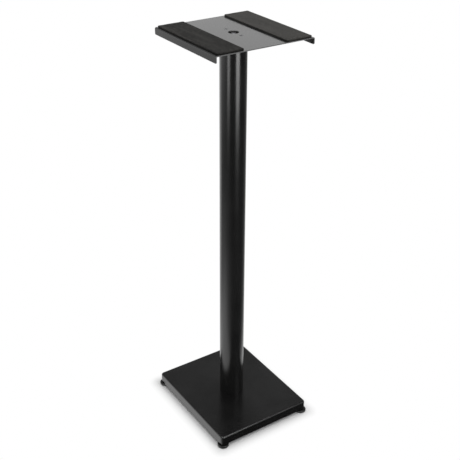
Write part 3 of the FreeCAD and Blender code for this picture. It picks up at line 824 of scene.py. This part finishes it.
def foam_block(name, low, high, corner, edge, material, spacing=0.0030):
    """A strip as an even mesh: its underside, a wall of three rows, a soft edge and its top."""
    size = high - low
    count_x, count_y = round(size.x / spacing), round(size.y / spacing)
    layers = [
        (0.0, low.z), (0.0, low.z + 0.3 * size.z), (0.0, low.z + 0.6 * size.z), (0.0, high.z - edge),
        (0.3 * edge, high.z - 0.3 * edge), (edge, high.z),
    ]
    cut = corner * (1 - math.sqrt(0.5))

    def place(i, j, inset, level):
        x, y = low.x + size.x * i / count_x, low.y + size.y * j / count_y
        at_x = (i == 0) - (i == count_x)
        at_y = (j == 0) - (j == count_y)
        share = cut if at_x and at_y else 0.0
        return (x + at_x * (inset + share), y + at_y * (inset + share), level)

    block = bmesh.new()
    ring = (
        [(i, 0) for i in range(count_x)] + [(count_x, j) for j in range(count_y)]
        + [(i, count_y) for i in range(count_x, 0, -1)] + [(0, j) for j in range(count_y, 0, -1)]
    )
    ends = []
    for inset, level in (layers[0], layers[-1]):
        grid = {
            (i, j): block.verts.new(place(i, j, inset, level))
            for i in range(count_x + 1) for j in range(count_y + 1)
        }
        for i in range(count_x):
            for j in range(count_y):
                quad = [grid[i, j], grid[i + 1, j], grid[i + 1, j + 1], grid[i, j + 1]]
                block.faces.new(quad if ends else quad[::-1])
        ends.append([grid[spot] for spot in ring])
    rows = [[block.verts.new(place(*spot, inset, level)) for spot in ring] for inset, level in layers[1:-1]]
    rows = [ends[0], *rows, ends[1]]
    for lower, upper in zip(rows, rows[1:]):
        for k in range(len(ring)):
            after = (k + 1) % len(ring)
            block.faces.new([lower[k], lower[after], upper[after], upper[k]])
    piece = new_piece(name, [], material=material)
    block.to_mesh(piece.data)
    block.free()
    return piece


def swell(block, glued_below, cap):
    """Lets cloth pressure swell the strip over its glued underside, and keeps at most cap of it."""
    still = [vertex.co.copy() for vertex in block.data.vertices]
    glued = block.vertex_groups.new(name="glued")
    glued.add([number for number, place in enumerate(still) if place.z < glued_below], 1.0, "REPLACE")
    cloth = block.modifiers.new("cloth", "CLOTH")
    cloth.settings.quality = 6
    cloth.settings.mass = 0.2
    cloth.settings.tension_stiffness = 20.0
    cloth.settings.compression_stiffness = 20.0
    cloth.settings.shear_stiffness = 10.0
    cloth.settings.bending_stiffness = 2.0
    cloth.settings.use_pressure = True
    cloth.settings.uniform_pressure_force = 4.0
    cloth.settings.effector_weights.gravity = 0.0
    cloth.settings.vertex_group_mass = "glued"
    for number in range(1, 21):
        scene.frame_set(number)
    made = block.evaluated_get(bpy.context.evaluated_depsgraph_get())
    swollen = [vertex.co.copy() for vertex in made.data.vertices]
    block.modifiers.clear()
    block.vertex_groups.clear()
    scene.frame_set(1)
    for vertex, start, end in zip(block.data.vertices, still, swollen):
        step = end - start
        if step.length > cap:
            step *= cap / step.length
        vertex.co = start + step


pad_corner, pad_edge, glue_reach, most_swell = 0.003, 0.0006, 0.0003, 0.0003
pad_shrink, top_shrink = Vector((most_swell, most_swell, 0.0)), Vector((0.0, 0.0, most_swell))
# Both strips are the same foam; the left one is given darker colours than the right: painted shade and
# painted light that stand for how differently the two are lit.
for side, dark, light in (
    ("left", (0.007, 0.0068, 0.0063), (0.029, 0.0280, 0.0262)),
    ("right", (0.030, 0.0290, 0.0270), (0.046, 0.0445, 0.0418)),
):
    foam = surface(
        f"{side}_foam", foam_cells, {"Cells": 1100.0}, dark, light, rough=(0.80, 0.95), depth=0.00010,
        ior=1.18, sheen=0.02,
    )
    low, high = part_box(f"{side}_pad")
    block = foam_block(
        f"{side}_foam_pad", low + pad_shrink, high - pad_shrink - top_shrink, pad_corner, pad_edge, foam
    )
    swell(block, low.z + glue_reach, most_swell)
    smooth = block.modifiers.new("smooth", "SUBSURF")
    smooth.levels = smooth.render_levels = 1
    block.data.shade_smooth()
    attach(block, "stand")
    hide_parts(f"{side}_pad")

# ---------------------------------------------------------------- corner plates and their nuts
# A 3 mm steel plate is welded into each corner of the tray and coated with it. On each sits a zinc-plated M6
# weld nut, which takes the foot's stud.

foot_corners = dict(zip(("front_left", "front_right", "back_left", "back_right"), corners))
foot_low, foot_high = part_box("foot_front_right_sole")
foot_x, foot_y = (foot_low.x + foot_high.x) / 2, -(foot_low.y + foot_high.y) / 2
m6_flats, m6_bore = 0.010, 0.0061
for corner in foot_corners:
    coat_node(f"corner_plate_{corner}", base_coat)
ring_pieces(
    "foot_nuts_m6", "foot_weld_nuts", [(sx * foot_x, sy * foot_y) for sx, sy in corners],
    m6_flats / math.sqrt(3) * 2, m6_bore, 1.0, zinc, "zinc_steel",
)

# ---------------------------------------------------------------- levelling feet
# An M6 stud with a hexagon collar for the wrench, snapped by its pivot head into a moulded plastic disc with
# a grooved rubber sole.

plastic = surface(
    "moulded_black_plastic", powder_grain, {"Grain": 2600.0, "Peel": 500.0},
    dark=(0.008, 0.008, 0.008), light=(0.012, 0.012, 0.012), rough=(0.28, 0.36), depth=0.000008,
)
rubber = surface(
    "black_rubber", powder_grain, {"Grain": 1900.0, "Peel": 400.0},
    dark=(0.010, 0.010, 0.010), light=(0.018, 0.018, 0.018), rough=(0.60, 0.75), depth=0.000015,
)

levelling_stud, given, result = shape_group(
    "levelling_stud", "Geometry", "Length", "Diameter", "Pitch", "Across Flats", "Collar Height",
    "Collar Level", "Head Diameter", "Head Height", "Material",
)
collar = by_group(
    levelling_stud, hex_head, {"Across Flats": given["Across Flats"], "Height": given["Collar Height"]}
)
collar_middle = math_node(levelling_stud, "MULTIPLY_ADD", given["Collar Height"], 0.5, given["Collar Level"])
pivot_radius = half_of(levelling_stud, given["Head Diameter"])
pivot = place_node(
    levelling_stud, "GeometryNodeMeshCylinder",
    {"Vertices": 48, "Radius": pivot_radius, "Depth": given["Head Height"]},
).outputs["Mesh"]
set_on_points(
    levelling_stud, given, result, shank_of(levelling_stud, given, 194),
    raised(levelling_stud, collar, collar_middle), standing(levelling_stud, pivot, given["Head Height"]),
)


def turned(name, profile, x, y, material, segments=80):
    """A closed profile of (radius, level) points turned round an upright axis."""
    rings = [circle(radius, segments, level, x, y) for radius, level in profile]
    piece = skinned(name, rings, material, closed=True)
    shell = bmesh.new()
    shell.from_mesh(piece.data)
    bmesh.ops.recalc_face_normals(shell, faces=shell.faces)
    shell.to_mesh(piece.data)
    shell.free()
    return piece


for corner, (sx, sy) in foot_corners.items():
    x, y = sx * foot_x, sy * foot_y
    stud_low, stud_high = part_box(f"foot_{corner}_stud")
    stud = made_by(
        levelling_stud, f"stud_m6_{corner}", [(x, y, stud_low.z)], [], f"stud_{corner}", "zinc_steel",
        length=stud_high.z - stud_low.z, diameter=0.006, pitch=0.001, across_flats=m6_flats,
        collar_height=0.0022, collar_level=0.0050, head_diameter=0.010, head_height=0.002, material=zinc,
    )
    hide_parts(f"foot_{corner}_stud")

    # The disc: its bore, a groove in its top, the rounded rim, a groove round its side, and the stud's well.
    disc_low, disc_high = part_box(f"foot_{corner}_disc")
    z0, z1, r1 = disc_low.z, disc_high.z, (disc_high.x - disc_low.x) / 2
    bore, well, well_depth, rim, nick, cut = 0.00305, 0.0051, 0.0026, 0.0015, 0.0002, 0.0003
    profile = [
        (bore, z0 + well_depth), (bore, z1 - cut), (0.0034, z1), (0.0060, z1), (0.0064, z1 - cut),
        (0.0100, z1 - cut), (0.0104, z1), (r1 - rim, z1),
    ]
    profile += [
        (r1 - rim + rim * math.sin(math.radians(a)), z1 - rim + rim * math.cos(math.radians(a)))
        for a in (22.5, 45, 67.5, 90)
    ]
    profile += [
        (r1, z0 + 0.0015), (r1 - nick, z0 + 0.0013), (r1 - nick, z0 + 0.0011), (r1, z0 + 0.0009),
        (r1, z0 + cut), (r1 - cut, z0), (well, z0), (well, z0 + well_depth),
    ]
    disc = finished(turned(f"disc_{corner}", profile, x, y, plastic), f"foot_{corner}")
    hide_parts(f"foot_{corner}_disc")

    # The sole: flat above, with four ring grooves below.
    sole_low, sole_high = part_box(f"foot_{corner}_sole")
    r2, top, bevel = (sole_high.x - sole_low.x) / 2, sole_high.z, 0.0004
    profile = [(bevel, 0.0), (bevel, top), (r2 - nick, top), (r2, top - nick), (r2, bevel), (r2 - bevel, 0.0)]
    groove_half = 0.0006
    for groove in (0.0108, 0.0084, 0.0060, 0.0036):
        profile += [
            (groove + groove_half, 0.0), (groove + bevel, bevel), (groove - bevel, bevel),
            (groove - groove_half, 0.0),
        ]
    sole = finished(turned(f"sole_{corner}", profile, x, y, rubber), f"foot_{corner}")
    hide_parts(f"foot_{corner}_sole")
